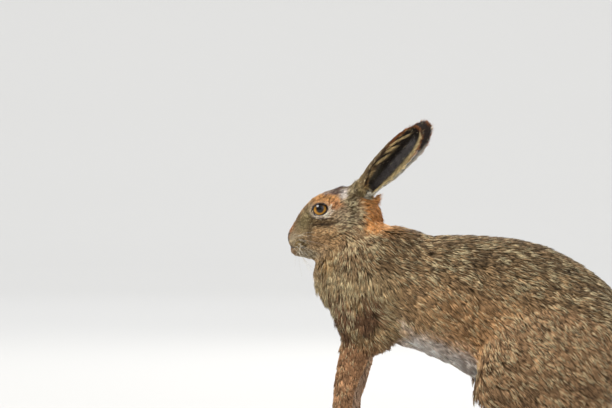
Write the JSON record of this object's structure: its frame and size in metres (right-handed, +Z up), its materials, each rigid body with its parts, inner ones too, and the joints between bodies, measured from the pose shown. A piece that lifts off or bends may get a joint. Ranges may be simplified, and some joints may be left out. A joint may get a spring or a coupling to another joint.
{
  "type": "brown hare",
  "caption": "Brown hare at life size, sitting up and alert on straight forelegs, with long ears laid back, as a still museum model.",
  "frame": {"origin": "middle of the animal's box, on the floor that its feet and tail rest on", "axes": "+Z up, the nose towards -Y and the tail towards +Y, the animal's left side towards +X"},
  "size_m": [0.1478, 0.4422, 0.3628],
  "materials": {
    "head_coat": "short grizzled fur, grey-brown with black and cream tips",
    "neck_coat": "rufous nape and buff throat fur with pale tips",
    "body_coat": "grizzled tawny, black and cream fur, white below",
    "leg_coat": "short tawny to rufous fur",
    "ear_coat": "very short fur, tawny in front, grey behind, black at the tip",
    "tail_coat": "long fur, black above and white below",
    "eye": "wet amber iris with a black pupil",
    "claw": "dark brown horn"
  },
  "bodies": {
    "root": {"claw_fore_left_1": "claw", "claw_fore_left_2": "claw", "claw_fore_left_3": "claw", "claw_fore_left_4": "claw", "claw_fore_right_1": "claw", "claw_fore_right_2": "claw", "claw_fore_right_3": "claw", "claw_fore_right_4": "claw", "claw_hind_left_1": "claw", "claw_hind_left_2": "claw", "claw_hind_left_3": "claw", "claw_hind_left_4": "claw", "claw_hind_right_1": "claw", "claw_hind_right_2": "claw", "claw_hind_right_3": "claw", "claw_hind_right_4": "claw", "ear_left": "ear_coat", "ear_right": "ear_coat", "eye_left": "eye", "eye_right": "eye", "forefoot_left": "leg_coat", "forefoot_right": "leg_coat", "foreleg_left": "leg_coat", "foreleg_right": "leg_coat", "head": "head_coat", "hindfoot_left": "leg_coat", "hindfoot_right": "leg_coat", "neck": "neck_coat", "tail": "tail_coat", "thigh_left": "body_coat", "thigh_right": "body_coat", "torso": "body_coat"}
  },
  "joints": []
}
